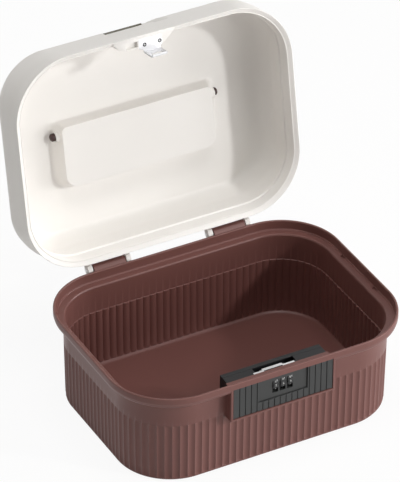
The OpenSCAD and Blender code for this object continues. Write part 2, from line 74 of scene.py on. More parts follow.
# name, size in metres, energy in watts, direction from the box and distance of each lamp
LAMPS = (("key", 0.24, 31, (0.572, -0.667, 0.478), 3.0),
         ("near", 0.9, 5, (0.568, -0.811, 0.139), 1.4),
         ("right", 1.8, 88, (0.903, -0.421, 0.087), 4.2),
         ("side", 1.8, 12, (0.845, 0.074, 0.53), 4.2),
         ("top", 2.0, 42, (0.0, -0.1, 1.0), 3.0),
         ("back", 2.0, 13, (-0.3, 0.7, 0.65), 3.0))
SKY, SKY_COLOUR = (0.34, 0.0), (1, 0.95, 0.87, 1)  # strength at the horizon and overhead


# ---------------------------------------------------------------- sizes and colours

def length(name, text, default, low, high):
    return FloatProperty(name=name, description=text, default=default, min=low, max=high,
                         unit="LENGTH", precision=4)


def colour(name, text, default):
    return FloatVectorProperty(name=name, description=text, default=default, size=3,
                               subtype="COLOR", min=0.0, max=1.0)


class LockBoxSizes(bpy.types.PropertyGroup):
    """Sizes that a user would change"""
    rim_width: length("Rim width", "Width over the tub's rim", 0.300, 0.25, 0.35)
    rim_depth: length("Rim depth", "Depth over the tub's rim, without the hinge", 0.222, 0.18, 0.26)
    rim_height: length("Rim height", "Height of the tub", 0.102, 0.08, 0.13)
    lid_height: length("Lid height", "Height of the lid", 0.062, 0.05, 0.08)
    dome_radius: length("Dome radius", "Radius between the lid's walls and top", 0.025, 0.01, 0.03)
    flute_depth: length("Flute depth", "Depth of a flute", 0.0013, 0.0, 0.002)
    flute_top: length("Flute top", "Height at which the flutes end", 0.064, 0.03, 0.08)
    flute_count: IntProperty(name="Flutes", description="Number of flutes round the tub",
                             default=120, min=40, max=160)
    finger_depth: length("Finger recess", "Depth of the finger recess", 0.0075, 0.0, 0.009)
    groove_depth: length("Groove depth", "Depth of the press plate's grooves", 0.0008, 0.0,
                         0.0015)
    groove_pitch: length("Groove pitch", "Distance between the plate's grooves", 0.00615, 0.004,
                         0.01)
    numeral_height: length("Numeral height", "Height of a numeral", 0.0024, 0.001, 0.004)


class LockBoxColours(bpy.types.PropertyGroup):
    """Colours of the finishes"""
    tub: colour("Tub", "Maroon-brown of the tub", (0.155, 0.064, 0.055))
    handle: colour("Handle", "Brown of the handle and its pins", (0.14, 0.06, 0.055))
    lid: colour("Lid", "Off-white of the lid", (0.835, 0.812, 0.782))
    plate: colour("Plate", "Dark grey of the press plate", (0.040, 0.041, 0.041))
    case: colour("Case", "Near-black of the case and the cover", (0.014, 0.014, 0.015))
    dial: colour("Dial", "Black of the dials", (0.012, 0.012, 0.013))
    numeral: colour("Numeral", "Grey of the numerals", (0.36, 0.36, 0.35))
    steel: colour("Steel", "Bright steel", (0.72, 0.72, 0.73))
    # painted shade: the olive grey of a dark strip put where the finger recess's hollow lies in
    # shade
    pad: colour("Pad", "Olive grey of the pad in the finger recess", (0.17, 0.16, 0.125))
    lever: colour("Lever", "Grey of the reset lever", (0.40, 0.40, 0.40))
    floor: colour("Floor", "Floor and backdrop", (0.93, 0.93, 0.93))


# ---------------------------------------------------------------- shapes

def soften(corners, steps=4):
    """A path through (a, b, radius) corners. Each corner with a radius becomes an arc that
    touches both of its sides: the middle is where the two lines moved in by the radius meet."""
    path = []
    for i, (a, b, radius) in enumerate(corners):
        here = np.array((a, b), float)
        if radius <= 0 or i in (0, len(corners) - 1):
            path.append(here)
            continue
        before = np.array(corners[i - 1][:2], float) - here
        after = np.array(corners[i + 1][:2], float) - here
        before /= np.linalg.norm(before)
        after /= np.linalg.norm(after)
        half = math.acos(float(np.clip(before @ after, -1, 1))) / 2
        reach = radius / math.tan(half)
        middle = here + (before + after) / np.linalg.norm(before + after) * radius / math.sin(half)
        start, end = here + before * reach - middle, here + after * reach - middle
        turn = math.atan2(start[0] * end[1] - start[1] * end[0], start @ end)
        t = np.linspace(0, turn, steps + 1)
        path.extend(np.stack([middle[0] + start[0] * np.cos(t) - start[1] * np.sin(t),
                              middle[1] + start[0] * np.sin(t) + start[1] * np.cos(t)], 1))
    return np.array(path)


def places(spans, marks):
    """Where each column stands on a rounded rectangle: marks are distances along an outline
    whose eight spans have these lengths, given back as a span and the part of it gone by."""
    spans = np.asarray(spans, float)
    ends = np.cumsum(spans)
    marks = np.mod(marks, ends[-1])
    span = np.minimum(np.searchsorted(ends, marks, side="right"), len(spans) - 1)
    return span, (marks - (ends - spans)[span]) / spans[span]


def even_places(counts):
    """Columns shared out evenly over the eight spans, with a count for each"""
    span = np.repeat(np.arange(8), counts)
    first = np.cumsum(counts) - np.asarray(counts)
    return span, (np.arange(len(span)) - first[span]) / np.asarray(counts)[span]


def rounded(width, depth, back_r, front_r, where):
    """Rings of a rounded rectangle, one for each row of the given arrays: a straight span is
    linear in its part, a corner span turns by 90 degrees times its part about the corner's
    middle. Gives the points and the outward normals, as (row, column, 2)."""
    span, part = where
    width, depth, back_r, front_r = np.broadcast_arrays(
        *[np.atleast_1d(np.asarray(v, float)) for v in (width, depth, back_r, front_r)])
    x = np.stack([width / 2 - front_r, width / 2 - back_r, back_r - width / 2, front_r - width / 2])
    y = np.stack([front_r - depth / 2, depth / 2 - back_r, depth / 2 - back_r, front_r - depth / 2])
    r = np.stack([front_r, back_r, back_r, front_r])
    k, corner = span // 2, span % 2 == 1
    angle = np.radians(90 * (k - 1) + np.where(corner, 90 * part, 0))
    normal = np.stack([np.cos(angle), np.sin(angle)], -1)
    mix = np.where(corner, 1, part)[:, None]
    x, y, r = [v[k - 1] * (1 - mix) + v[k] * mix for v in (x, y, r)]
    points = np.stack([x.T + r.T * normal[:, 0], y.T + r.T * normal[:, 1]], -1)
    return points, np.broadcast_to(normal, points.shape)


def skin(rings, loop=False):
    """Faces over a grid of (row, column) points whose rows are closed rings. The two ends are
    closed by flat faces, or the last row joins the first one."""
    rows, cols = rings.shape[:2]
    i, j = np.meshgrid(np.arange(rows if loop else rows - 1), np.arange(cols), indexing="ij")
    up, on = (i + 1) % rows, (j + 1) % cols
    faces = np.stack([i * cols + j, i * cols + on, up * cols + on, up * cols + j], -1)
    faces = faces.reshape(-1, 4).tolist()
    if not loop:
        faces.append(np.arange(cols)[::-1].tolist())
        faces.append(((rows - 1) * cols + np.arange(cols)).tolist())
    return rings.reshape(-1, 3), faces


def turned(path, centre, axis="x", sides=48, wobble=None, loop=False):
    """A turned piece: the (radius, height) path is carried round an axis. wobble(angle, height)
    is added to the radius."""
    path = np.asarray(path, float)
    angle = np.linspace(0, 2 * math.pi, sides, endpoint=False)
    radius = path[:, :1] + (wobble(angle[None, :], path[:, 1:]) if wobble else 0)
    a, b = radius * np.cos(angle), radius * np.sin(angle)
    h = np.broadcast_to(path[:, 1:], a.shape)
    order = {"x": (h, a, b), "y": (b, h, a), "z": (a, b, h)}[axis]
    return skin(np.stack(order, -1) + np.asarray(centre, float), loop)


def bar(shape, low, high, axis="x"):
    """A bar: a flat counter-clockwise shape carried straight from low to high along an axis"""
    shape = np.asarray(shape, float)
    ends = []
    for h in (low, high):
        a, b, c = shape[:, 0], shape[:, 1], np.full(len(shape), float(h))
        ends.append(np.stack({"x": (c, a, b), "y": (b, c, a), "z": (a, b, c)}[axis], -1))
    return skin(np.array(ends))


def block(low, high):
    """A straight block between two corners"""
    return bar([(low[0], low[1]), (high[0], low[1]), (high[0], high[1]), (low[0], high[1])],
               low[2], high[2], "z")


def carried(path, side, section):
    """A section carried along a path: each point is the path's point, plus the section's first
    number along side and its second along z. The section has a row for each point of the path."""
    up = np.array((0.0, 0.0, 1.0))
    rings = path[:, None, :] + section[..., :1] * side[:, None, :] + section[..., 1:] * up
    return skin(rings)


def together(*parts):
    """Several closed shapes in one mesh"""
    points, faces, count = [], [], 0
    for p, f in parts:
        points.append(p)
        faces.extend([[v + count for v in face] for face in f])
        count += len(p)
    return np.concatenate(points), faces


def mirrored(shape):
    """A shape's mirror image in x, with its faces still outward"""
    points, faces = shape
    return points * (-1, 1, 1), [face[::-1] for face in faces]


def opened(shape):
    """From the closed lid to the open one: a turn about the hinge's axis"""
    points, faces = shape
    y, z = points[:, 1] - AXIS_Y, points[:, 2] - AXIS_Z
    c, s = math.cos(-OPEN), math.sin(-OPEN)
    return np.stack([points[:, 0], AXIS_Y + y * c - z * s, AXIS_Z + y * s + z * c], 1), faces


def round_the_hinge(radius, low, high, count):
    """Points on an arc about the hinge's axis, from a low to a high angle, in y and z"""
    t = np.radians(np.linspace(low, high, count))
    return np.stack([AXIS_Y + radius * np.cos(t), AXIS_Z + radius * np.sin(t)], 1)


def step(value, low, high):
    """Runs smoothly from 0 at low to 1 at high"""
    t = np.clip((value - low) / (high - low), 0, 1)
    return t * t * (3 - 2 * t)


# ---------------------------------------------------------------- pieces

def put(name, data):
    """A new object in the scene, at the origin"""
    obj = bpy.data.objects.new(name, data)
    bpy.context.scene.collection.objects.link(obj)
    return obj


def finished(obj):
    """A new mesh of an object, with its modifiers"""
    graph = bpy.context.evaluated_depsgraph_get()
    return bpy.data.meshes.new_from_object(obj.evaluated_get(graph))


def solid(name, shape, sharp=35.0):
    """An object of a shape in millimetres, smooth but for edges sharper than an angle"""
    points, faces = shape
    mesh = bpy.data.meshes.new(name)
    mesh.from_pydata((np.asarray(points) * MM).tolist(), [], faces)
    mesh.validate()
    obj = put(name, mesh)
    smooth(obj, sharp)
    return obj


def smooth(obj, sharp):
    """Smooth shading but for edges sharper than an angle"""
    mesh = obj.data
    mesh.polygons.foreach_set("use_smooth", np.ones(len(mesh.polygons), bool))
    mesh.set_sharp_from_angle(angle=math.radians(sharp))
    mesh.update()


def bevel(obj, width, steps=2, angle=40.0):
    """Rounds the edges sharper than an angle over a width in millimetres"""
    mod = obj.modifiers.new("Bevel", "BEVEL")
    mod.width = width * MM
    mod.segments = steps
    mod.limit_method = "ANGLE"
    mod.angle_limit = math.radians(angle)
    return obj


def settle(obj, sharp=35.0):
    """Turns the modifiers of an object into its mesh"""
    mesh = finished(obj)
    obj.modifiers.clear()
    old, obj.data = obj.data, mesh
    bpy.data.meshes.remove(old)
    mesh.name = obj.name
    smooth(obj, sharp)
    return obj


def cut(obj, *tools, operation="DIFFERENCE", sharp=35.0):
    """Takes the tools away from an object, or joins them to it"""
    for tool in tools:
        mod = obj.modifiers.new("Boolean", "BOOLEAN")
        mod.operation = operation
        mod.solver = "EXACT"
        mod.object = tool
    settle(obj, sharp)
    for tool in tools:
        bpy.data.objects.remove(tool)


def place(obj, body, slot, kind, *nodes):
    """Rides the piece on its body, hides the nodes that it stands for and gives it its finish"""
    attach(obj, body)
    if nodes:
        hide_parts(*nodes)
    dress(obj, kind)


def dress(obj, kind):
    """Gives an object its one finish"""
    obj.data.materials.clear()
    obj.data.materials.append(finish(kind))


# ---------------------------------------------------------------- finishes

def new_group(name, inputs):
    """A shader group with these inputs, and the outputs Color, Roughness and Height"""
    group = bpy.data.node_groups.new(name, "ShaderNodeTree")
    for title, default in inputs.items():
        kind = "Float" if isinstance(default, float) else "Color"
        group.interface.new_socket(name=title, in_out="INPUT",
                                   socket_type="NodeSocket" + kind).default_value = default
    for title, kind in (("Color", "Color"), ("Roughness", "Float"), ("Height", "Float")):
        group.interface.new_socket(name=title, in_out="OUTPUT", socket_type="NodeSocket" + kind)
    return group


def node(tree, kind, operation=None, **values):
    """A node of a tree, with its operation. Each value goes to the socket of that name, where a
    number stands for itself and a socket is linked. _0, _1 and _2 are a node's nameless ones."""
    new = tree.nodes.new("ShaderNode" + kind)
    if operation:
        new.operation = operation
    for name, value in values.items():
        into = new.inputs[int(name[1:]) if name[0] == "_" else name.replace("_", " ")]
        if isinstance(value, bpy.types.NodeSocket):
            tree.links.new(value, into)
        else:
            into.default_value = value
    return new


def give(tree, ins, tone, noise, spread):
    """A group's outputs: its colour scaled by a tone, its roughness raised by a noise times a
    spread, and the noise as the height"""
    tint = node(tree, "VectorMath", "SCALE", _0=ins["Color"], Scale=tone)
    rough = node(tree, "Math", "MULTIPLY_ADD", _0=noise, _1=spread, _2=ins["Roughness"])
    outs = tree.nodes.new("NodeGroupOutput").inputs
    for value, into in zip((tint.outputs[0], rough.outputs[0], noise), outs):
        tree.links.new(value, into)


def moulded_grain():
    """Shader group of moulded plastic: a slow noise shifts the colour's tone, a fine noise gives
    the spark-eroded grain as a height, and the fine one moves the roughness a little."""
    group = new_group("Moulded grain", {"Color": (0.5, 0.5, 0.5, 1), "Tone": 0.05,
                                        "Grain size": 0.5, "Roughness": 0.45})
    ins = group.nodes.new("NodeGroupInput").outputs
    at = node(group, "TexCoord").outputs["Object"]
    slow = node(group, "TexNoise", Vector=at, Scale=14, Detail=3)
    size = node(group, "Math", "DIVIDE", _0=1000, _1=ins["Grain size"])
    fine = node(group, "TexNoise", Vector=at, Scale=size.outputs[0], Detail=2)
    centred = node(group, "Math", "SUBTRACT", _0=slow.outputs["Fac"], _1=0.5)
    tone = node(group, "Math", "MULTIPLY_ADD", _0=centred.outputs[0], _1=ins["Tone"], _2=1.0)
    give(group, ins, tone.outputs[0], fine.outputs["Fac"], 0.08)
    return group


def rolled_steel():
    """Shader group of rolled steel: noise drawn out along x gives streaks in tone, roughness
    and height."""
    group = new_group("Rolled steel", {"Color": (0.7, 0.7, 0.7, 1), "Roughness": 0.3})
    ins = group.nodes.new("NodeGroupInput").outputs
    at = node(group, "TexCoord").outputs["Object"]
    drawn = node(group, "Mapping", Vector=at, Scale=(60, 1600, 1600))
    streak = node(group, "TexNoise", Vector=drawn.outputs["Vector"], Scale=1, Detail=3)
    tone = node(group, "MapRange", Value=streak.outputs["Fac"], To_Min=0.88, To_Max=1.08)
    give(group, ins, tone.outputs["Result"], streak.outputs["Fac"], 0.15)
    return group


def surface(name, group, depth, values, shading):
    """A material: a group with its values feeds a shader, and its height, over a depth in
    millimetres, a bump. shading holds the shader's own values."""
    mat = bpy.data.materials.new(name)
    mat.use_nodes = True
    tree = mat.node_tree
    shader = tree.nodes["Principled BSDF"]
    look = node(tree, "Group")
    look.node_tree = group
    for title, value in values.items():
        look.inputs[title].default_value = value
    bump = node(tree, "Bump", Strength=1.0, Distance=depth * MM, Height=look.outputs["Height"])
    for title, value in shading.items():
        shader.inputs[title].default_value = value
    tree.links.new(look.outputs["Color"], shader.inputs["Base Color"])
    tree.links.new(look.outputs["Roughness"], shader.inputs["Roughness"])
    tree.links.new(bump.outputs["Normal"], shader.inputs["Normal"])
    return mat


# material, colour and its factor, roughness, tone and specular level, and where they differ
# from GRAIN the grain's size and depth
GRAIN = (0.5, 0.02)
PLASTICS = {
    "tub": ("tub_plastic", "tub", 1, 0.36, 0.10, 0.32),
    "handle": ("handle_plastic", "handle", 1, 0.40, 0.10, 0.4),
    "pivot": ("pivot_plastic", "handle", 0.35, 0.35, 0.10, 0.4),
    "lid": ("lid_plastic", "lid", 1, 0.45, 0.03, 0.4),
    "plate": ("plate_plastic", "plate", 1, 0.5, 0.12, 0.3),
    "case": ("case_plastic", "case", 1, 0.42, 0.12, 0.25),
    "dial": ("dial_plastic", "dial", 1, 0.22, 0.10, 0.4, 0.5, 0.005),
    "numeral": ("numeral_paint", "numeral", 1, 0.5, 0.04, 0.4, 0.2, 0.005),
    # painted shade: the dark strip in the finger recess stands for the shade of its hollow
    "pad": ("pad_rubber", "pad", 1, 0.6, 0.08, 0.2),
    "lever": ("lever_plastic", "lever", 1, 0.45, 0.08, 0.4),
}
# material, factor of the steel's colour, roughness
STEELS = {
    "steel": ("bright_steel", 1, 0.25),
    "screw": ("screw_steel", 0.07, 0.3),
    "tongue": ("tongue_steel", 0.8, 0.42),
}


def finish(kind):
    """The material of a finish"""
    c = bpy.context.scene.lock_box_colours
    mat = bpy.data.materials.get({**PLASTICS, **STEELS}[kind][0])
    if mat:
        return mat
    groups = bpy.data.node_groups
    if kind in STEELS:
        name, factor, rough = STEELS[kind]
        values = {"Color": (*[v * factor for v in c.steel], 1), "Roughness": rough}
        group = groups.get("Rolled steel") or rolled_steel()
        return surface(name, group, 0.01, values, {"Metallic": 1.0})
    name, shade, factor, rough, tone, specular, *grain = PLASTICS[kind]
    grain, depth = grain or GRAIN
    values = {"Color": (*[v * factor for v in getattr(c, shade)], 1), "Tone": tone,
              "Grain size": grain, "Roughness": rough}
    group = groups.get("Moulded grain") or moulded_grain()
    return surface(name, group, depth, values, {"Specular IOR Level": specular})


# ---------------------------------------------------------------- operators

def tub_rows(s, outer):
    """The (inset, height) path of the tub's outside or inside, from the bottom up"""
    top = s.rim_height / MM
    if outer:
        return soften([(16.5, 0, 0), (10.6, 0, 3.6), (10.3, 12, 0), (10.1, 24, 0), (9.9, 36, 0),
                       (9.7, 48, 0), (9.5, 60, 0), (9.35, 72, 0), (9.2, top - 15.8, 1.5),
                       (3.0, top - 11.5, 1.2), (0.8, top - 9, 1.0), (0, top - 6, 1.5),
                       (0, top, 1.15), (2.4, top, 1.15), (2.45, top - 3, 0)], 4)
    return soften([(2.45, top - 3, 0), (2.85, top - 7.6, 0), (2.9, top - 8.9, 0.25),
                   (3.9, top - 8.9, 0.35), (4.2, top - 9.7, 0.2), (10.6, top - 9.7, 0.9),
                   (11.4, top - 11.2, 0.9), (11.6, top - 17.5, 0), (11.75, 60, 0), (11.9, 48, 0),
                   (12.1, 36, 0), (12.4, 24, 0), (12.9, 2.5, 5.0), (20.0, 2.5, 0)], 4)


class LOCKBOX_OT_tub(bpy.types.Operator):
    """The tub: a ring for each (inset, height) of a path up the outside, over the lip and down
    the inside. Within the fluted height the ring moves in by the flute's depth times 4u(1 - u),
    where u is the part of a flute gone by along the body's outline; the inside does the same."""
    bl_idname = "lockbox.tub"
    bl_label = "Tub"

    def execute(self, context):
        s = context.scene.lock_box_sizes
        width, depth, top = s.rim_width / MM, s.rim_depth / MM, s.rim_height / MM
        body_in, rear_r, front_r = 9.6, 52.0, 56.0
        rim_rear_r, rim_front_r, floor_in = 61, 64, 13.2
        across, along = width - 2 * body_in, depth - 2 * body_in - rear_r - front_r
        front_arc, rear_arc = math.pi * front_r / 2, math.pi * rear_r / 2
        spans = [across - 2 * front_r, front_arc, along, rear_arc, across - 2 * rear_r, rear_arc,
                 along, front_arc]
        pitch = sum(spans) / s.flute_count
        steps = np.array((0, 0.05, 0.15, 0.31, 0.5, 0.69, 0.85, 0.95))
        marks = ((np.arange(s.flute_count)[:, None] + steps) * pitch).ravel() + spans[0] / 2
        turn = np.tile(steps, s.flute_count)
        dip = 4 * turn * (1 - turn)
        where = places(spans, marks)
        outer, inner = tub_rows(s, True), tub_rows(s, False)
        rows = np.concatenate([self.fill(outer, s), self.fill(inner[1:], s)])
        inset, z = rows[:, 0], rows[:, 1]
        ring, normal = rounded(width - 2 * inset, depth - 2 * inset,
                               rim_rear_r - inset * (rim_rear_r - rear_r) / body_in,
                               rim_front_r - inset * (rim_front_r - front_r) / body_in, where)
        flute_top = s.flute_top / MM
        fluted = step(z, *FLUTE_FOOT) * (1 - step(z, flute_top - FLUTE_FADE, flute_top))
        fluted = fluted * (inset < floor_in)
        ring = ring - normal * (s.flute_depth / MM * fluted[:, None] * dip)[..., None]
        rings = np.concatenate([ring, np.broadcast_to(z[:, None, None], (*ring.shape[:2], 1))], 2)
        tub = solid("tub", skin(rings))
        surround = block((-55.4, FRONT + 0.04, 59.2), (55.4, -108.7, 97.0))
        surround = settle(bevel(solid("surround", surround), 0.9, 3))
        behind = solid("behind", block((-55.0, -109.5, 59.6), (55.0, -99.75, top - 9.75)))
        cut(tub, surround, behind, operation="UNION")
        pocket = bevel(solid("pocket", block((-53, FRONT - 3, 61.6), (53, -103.4, LID_Z))), 0.4)
        opening = solid("opening", block((-44, -104.4, 63.6), (44, -98.2, LID_Z)))
        notches = [solid("notch", block((m * 145.3 - 1.3, y - 3.2, top - 11.0),
                                        (m * 145.3 + 1.3, y + 3.2, top - 5)))
                   for m in SIDES for y in (-28, 32)]
        cut(tub, settle(pocket), opening, *notches)
        shelf = solid("shelf", block((-54.0, -105.0, 95.02), (54.0, -97.7, 95.38)))
        feet = [solid("foot", block((x, -105.0, top - 10.2), (x + 1.5, -100.4, 95.3)))
                for x in (-54.0, 52.5)]
        cut(tub, shelf, *feet, operation="UNION")
        place(tub, "tub", "tub", "tub", "tub_shell")
        return {"FINISHED"}

    @staticmethod
    def fill(path, s):
        """Adds the rows between which a flute fades in and out"""
        top = s.flute_top / MM
        extra = []
        for z in (*np.linspace(*FLUTE_FOOT, 3), top - FLUTE_FADE, top - FLUTE_FADE / 2, top):
            for k in np.where((path[:-1, 1] - z) * (path[1:, 1] - z) < 0)[0]:
                t = (z - path[k, 1]) / (path[k + 1, 1] - path[k, 1])
                extra.append((k + t, *(path[k] * (1 - t) + path[k + 1] * t)))
        rows = [(k, *p) for k, p in enumerate(path)] + extra
        return np.array(sorted(rows))[:, 1:]


class LOCKBOX_OT_hinge(bpy.types.Operator):
    """Two hinge barrels on the tub's back, each a round bar with a web, and a pin with domed
    ends through each: paths turned about the hinge's axis."""
    bl_idname = "lockbox.hinge"
    bl_label = "Hinge"

    def execute(self, context):
        web = [(110.2, AXIS_Z - 0.6), (110.2, AXIS_Z - 7.6), (111.6, AXIS_Z - 7.4)]
        shape = np.concatenate([round_the_hinge(4.1, -115, 140, 27), web])
        parts = [bar(shape, x - BARREL_HALF, x + BARREL_HALF) for x in (-HINGE_X, HINGE_X)]
        barrels = bevel(solid("hinge_barrels", together(*parts)), 0.35, 2, 60)
        place(barrels, "tub", "tub", "tub")
        half = BARREL_HALF + EAR_GAP + EAR_WIDTH
        path = soften([(0.2, -half - 0.3, 0), (1.0, -half - 0.25, 0), (1.5, -half + 0.2, 0.3),
                       (1.5, half - 0.2, 0.3), (1.0, half + 0.25, 0), (0.2, half + 0.3, 0)])
        for name, x in (("left", -HINGE_X), ("right", HINGE_X)):
            pin = solid("pin_" + name, turned(path, (x, AXIS_Y, AXIS_Z), "x", 32))
            place(pin, "lid", "steel", "steel", "hinge_pin_" + name)
        return {"FINISHED"}


def lid_ring(s, t, h, arc):
    """One ring of the lid's wall and dome. Every side leans in with the height by its own draft,
    which dies away over the dome, the corners grow tighter, t comes off all round, and arc is the
    dome's own inset, less at the rear, whose crease is sharper. Gives width, depth, back and
    front radius, middle and height."""
    width, depth, back_r, front_r, inset_r = 294, 216, 58.5, 61, 0.4
    side_draft, rear_draft, rear_arc = 0.06, 0.09, 0.38
    shoulder, dome = (s.lid_height - s.dome_radius) / MM, s.dome_radius / MM
    low = np.where(h < shoulder, h, shoulder + (h - shoulder) * (1 - (h - shoulder) / dome))
    side, front = side_draft * low + t + arc, WALL_DRAFT * low + t + arc
    rear = rear_draft * low + t + rear_arc * arc
    tight = step(low, 5, 30)
    return (width - 2 * side, depth - front - rear, back_r - 9 * tight - inset_r * (side + rear),
            front_r - 6 * tight - inset_r * (side + front), (front - rear) / 2, h)


class LOCKBOX_OT_lid(bpy.types.Operator):
    """The lid: rings run from the bulge round the handle recess, down the inside of the dome and
    the wall, round the edge, up the outside, over the top and down into the recess. The dome is
    an arc between the drafted walls and the flat top. The finger recess is a plane behind the
    front wall: its depth times smooth steps in x, short at the left and long at the right, and one
    in the height, and the front stays behind it."""
    bl_idname = "lockbox.lid"
    bl_label = "Lid"

    def execute(self, context):
        s = context.scene.lock_box_sizes
        high, dome = s.lid_height / MM, s.dome_radius / MM
        shoulder, deep = high - dome, 13.5
        where = even_places([110, 36, 48, 36, 84, 36, 48, 36])
        turn = np.radians(np.linspace(0, 90, 15))
        # each row is an inset, a height and the dome's own inset
        inside = [(0.75, 0.12, 0), (4.1, 2.5, 0), (4.35, 2.2, 0), (4.75, 2.2, 0), (5.0, 2.6, 0),
                  (5.0, 4, 0), (5.0, 8, 0), (5.0, 12, 0), (5.05, 14.8, 0), (6.3, 15.8, 0),
                  (6.35, 16.6, 0)]
        inside += [(t, h, 0)
                   for t, h in zip(np.linspace(6.1, 2.9, 9), np.linspace(18, shoulder - 1, 9))]
        arc = dome - WALL
        inside += [(WALL, shoulder + arc * math.sin(a), arc * (1 - math.cos(a))) for a in turn[1:]]
        outside = [(0.55, 0.0, 0), (0.22, 0.05, 0), (0.03, 0.5, 0)]
        outside += [(0, h, 0) for h in np.linspace(2, shoulder - 1, 24)]
        outside += [(0, shoulder + dome * math.sin(a), dome * (1 - math.cos(a))) for a in turn]
        # the handle's recess, and the bulge round it, as insets and heights
        recess = soften([(9.0, high, 0), (3.4, high, 0), (1.0, high, 1.0), (0.0, high - 11.5, 0),
                         (-0.4, high - deep, 1.2), (-4.0, high - deep, 0)], 4)
        bulge = soften([(16.0, high - WALL, 0), (6.4, high - WALL, 5.5), (1.8, high - 12.5, 1.5),
                        (0.2, high - deep - WALL, 0.9), (-4.0, high - deep - WALL, 0)], 6)
        mid, wide, long = 16.8, 161.0, 59.6
        rows = []
        for t, h in bulge[::-1]:
            y0, y1 = -15.6 - (0.12 * t if t < 2 else 0.24 + 0.35 * (t - 2)), 47.5 + 0.6 * t
            rows.append((wide + 2 * t, y1 - y0, 12.5 + 0.8 * t, 5.0 + 0.3 * t, (y0 + y1) / 2, h))
        for row in inside[::-1] + outside:
            rows.append(lid_ring(s, *row))
        for t, h in recess:
            rows.append((wide + 2 * t, long + 2 * t, max(13 + t, 8), max(4.5 + t, 3), mid, h))
        w, d, rb, rf, cy, h = np.array(rows).T
        ring, _ = rounded(w, d, rb, rf, where)
        ring[..., 1] += cy[:, None]
        h = np.broadcast_to(h[:, None], ring.shape[:2])
        number = np.arange(len(rows))
        walls = (number >= len(bulge)) & (number < len(rows) - len(recess))
        inner = walls & (number < len(bulge) + len(inside))
        x, more = ring[..., 0], np.where(inner, WALL, 0)[:, None]
        dent = s.finger_depth / MM * step(x, -31 - more, -28 - more)
        dent = dent * (1 - step(x, 16 + more, 36 + more))
        dent = dent * step(h, shoulder - 6.8 - 1.5 * more, shoulder - 5.5 - 0.6 * more)
        wall_y = WALL_Y + more + WALL_DRAFT * np.minimum(h, shoulder + PAST_SHOULDER)
        scooped = (ring[..., 1] < WALL_Y + 48) & walls[:, None] & (dent > 0)
        ring[..., 1] = np.where(scooped, np.maximum(ring[..., 1], wall_y + dent), ring[..., 1])
        rings = np.concatenate([ring, (h + LID_Z)[..., None]], 2)
        lid = solid("lid", opened(skin(rings)), 32)
        place(lid, "lid", "lid", "lid", "lid_shell")
        self.pad(s)
        self.boss()
        self.ears()
        return {"FINISHED"}

    def pad(self, s):
        """A dark strip along the far edge of the finger recess's floor, narrower to the right:
        painted shade, a dark sheet put where the recess's hollow lies in shade
        """
        past = (s.lid_height - s.dome_radius) / MM + PAST_SHOULDER
        floor = WALL_Y + WALL_DRAFT * past + s.finger_depth / MM
        low, far = LID_Z + 44.5, LID_Z + 54.4
        shape = [(low, -27.5), (far, -27.5), (far, 16.0), (far - 1.5, 16.0)]
        # painted shade: a dark sheet where the recess's hollow lies in shade, not a part of the lid
        pad = solid("finger_pad", opened(bar(shape, floor - 1.1, floor + 1.0, "y")))
        place(bevel(pad, 0.15, 2, 50), "lid", "lid", "pad")

    def boss(self):
        """The striker's boss: rings of one softened outline, which draws back to the front wall
        as it goes up, with a small recess in its face; and a round boss behind each handle pin"""
        middle, root = -8, -107.6
        face = soften([(middle, root, 0), (-41.5, root, 0), (-39.5, -104.6, 1.5),
                       (-34.3, -98.2, 6), (-27, -96.0, 6), (-14, -95.0, 10), (2, -93.6, 8),
                       (9, -93.0, 4), (16.8, -98.6, 5), (23.8, -104.6, 1.5), (25.5, root, 0),
                       (middle, root, 0)], 5)[::-1]
        rows = []
        for h, across, reach in ((0.02, 0.985, 0.97), (0.3, 1, 1), (3, 1, 1), (10, 0.99, 0.97),
                                 (17, 0.97, 0.86), (24, 0.92, 0.62), (30, 0.86, 0.34),
                                 (35, 0.8, 0.1)):
            x = middle + (face[:, 0] - middle) * across
            y = root + (face[:, 1] - root) * reach + WALL_DRAFT * h
            rows.append(np.stack([x, y, np.full(len(face), LID_Z + h)], 1))
        boss = solid("striker_boss", opened(skin(np.array(rows)[:, 1:])), 40)
        recess = solid("recess", opened(block((-26.8, -103.0, 94.0), (-15.0, -96.9, 98.6))))
        cut(boss, recess, sharp=40)
        place(boss, "lid", "lid", "lid")
        path = soften([(0.3, 79.3, 0), (6.4, 79.3, 0), (6.0, 85.6, 0.8), (4.3, 85.6, 0.2),
                       (4.3, 83.7, 0), (0.3, 83.7, 0)])
        disc = turned(path, (0, PIVOT_Y, PIVOT_Z), "x", 40)
        bosses = solid("pin_bosses", opened(together(mirrored(disc), disc)))
        place(bosses, "lid", "lid", "lid")

    def ears(self):
        """Four ears: each is a disc round the hinge's axis joined to an arm on the lid's edge,
        carried over its width"""
        half = 2.7
        arm = [(105.3, AXIS_Z + 4.35), (105.6, 102.4), (110.2, 102.4), (111.35, 101.4),
               (111.45, 99.6)]
        shape = np.concatenate([round_the_hinge(4.3, -100, 88, 22), arm])
        middle = BARREL_HALF + EAR_GAP + EAR_WIDTH / 2
        parts = [bar(shape, x - half, x + half)
                 for x in (m * HINGE_X + e * middle for m in SIDES for e in SIDES)]
        ears = bevel(solid("hinge_ears", opened(together(*parts))), 0.5, 2, 50)
        place(ears, "lid", "lid", "lid")


